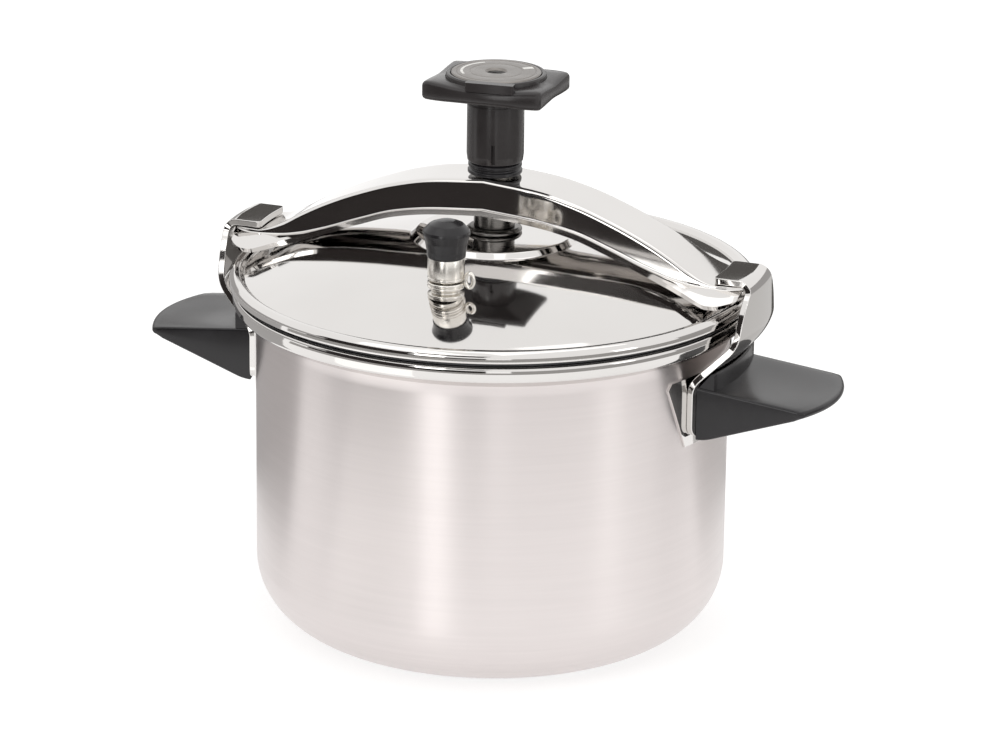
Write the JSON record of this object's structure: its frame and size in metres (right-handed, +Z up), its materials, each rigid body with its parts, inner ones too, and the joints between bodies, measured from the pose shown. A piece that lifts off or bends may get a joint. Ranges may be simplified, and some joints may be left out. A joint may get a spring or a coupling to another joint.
{
  "type": "stovetop pressure cooker",
  "caption": "Steel pressure cooker whose domed lid is clamped under two lugs by a sprung stirrup, a central screw and a square black knob, with a steam valve and side grips",
  "frame": {"origin": "centre of the base, on the surface the cooker stands on", "axes": "+X along the stirrup toward the right grip, +Y away from the steam valve toward the safety valve, +Z up"},
  "size_m": [0.3392, 0.2466, 0.2674],
  "materials": {
    "steel_satin": "satin brushed stainless steel",
    "steel_polished": "mirror polished stainless steel",
    "aluminium_core": "plain",
    "steel_parts": "turned and zinc free",
    "safety_brass": "turned",
    "seal_rubber": "silicone",
    "bakelite": "semi-gloss black moulding"
  },
  "bodies": {
    "pot": {"pot_shell": "steel_satin", "heat_spreader": "aluminium_core", "base_cap": "steel_satin", "lug_right": "steel_polished", "lug_left": "steel_polished", "saddle_right": "steel_polished", "saddle_left": "steel_polished", "handle_right": "bakelite", "handle_left": "bakelite", "handle_studs": "steel_parts", "handle_washers": "steel_parts", "handle_nuts": "steel_parts"},
    "lid": {"lid_shell": "steel_polished", "lid_gasket": "seal_rubber", "valve_chimney": "steel_parts", "valve_nut": "steel_parts", "valve_seal": "seal_rubber", "valve_base": "steel_parts", "safety_body": "safety_brass", "safety_nut": "safety_brass", "safety_seal": "seal_rubber", "safety_seat": "safety_brass", "safety_spring": "steel_parts"},
    "collar": {"valve_collar": "steel_parts"},
    "weight": {"valve_weight": "steel_parts", "valve_needle": "steel_parts", "valve_cap": "bakelite"},
    "plunger": {"safety_plunger": "steel_parts"},
    "stirrup": {"stirrup": "steel_polished", "stirrup_nut": "steel_parts", "stirrup_collar": "bakelite"},
    "foot": {"foot_hub": "steel_parts", "foot_pad": "steel_parts"},
    "knob": {"clamp_screw": "steel_parts", "foot_clip": "steel_parts", "knob": "bakelite", "knob_ring": "bakelite", "knob_disc": "steel_parts", "knob_screw": "steel_parts"}
  },
  "joints": [
    {"name": "lid_turn", "type": "hinge", "parent": "pot", "child": "lid", "pos_m": [0, 0, 0.165], "axis": [0, 0, 1], "range_deg": [-35, 35]},
    {"name": "stirrup_swing", "type": "hinge", "parent": "lid", "child": "stirrup", "pos_m": [0, 0, 0.2], "axis": [0, 0, 1], "range_deg": [-60, 60]},
    {"name": "screw_travel", "type": "slide", "parent": "stirrup", "child": "foot", "axis": [0, 0, 1], "range_m": [0, 0.006]},
    {"name": "knob_turn", "type": "hinge", "parent": "foot", "child": "knob", "pos_m": [0, 0, 0.2], "axis": [0, 0, 1], "range_deg": [0, 720]},
    {"name": "valve_collar_turn", "type": "hinge", "parent": "lid", "child": "collar", "pos_m": [0.00523, -0.07482, 0.186], "axis": [0, 0, 1], "range_deg": [0, 90]},
    {"name": "weight_lift", "type": "slide", "parent": "lid", "child": "weight", "axis": [0, 0, 1], "range_m": [0, 0.004]},
    {"name": "plunger_lift", "type": "slide", "parent": "lid", "child": "plunger", "axis": [0, 0, 1], "range_m": [0, 0.002], "deforming": ["safety_spring"]}
  ],
  "couplings": [
    {"joint": "knob_turn", "follows": "screw_travel", "rad_per_m": 2094.4}
  ]
}
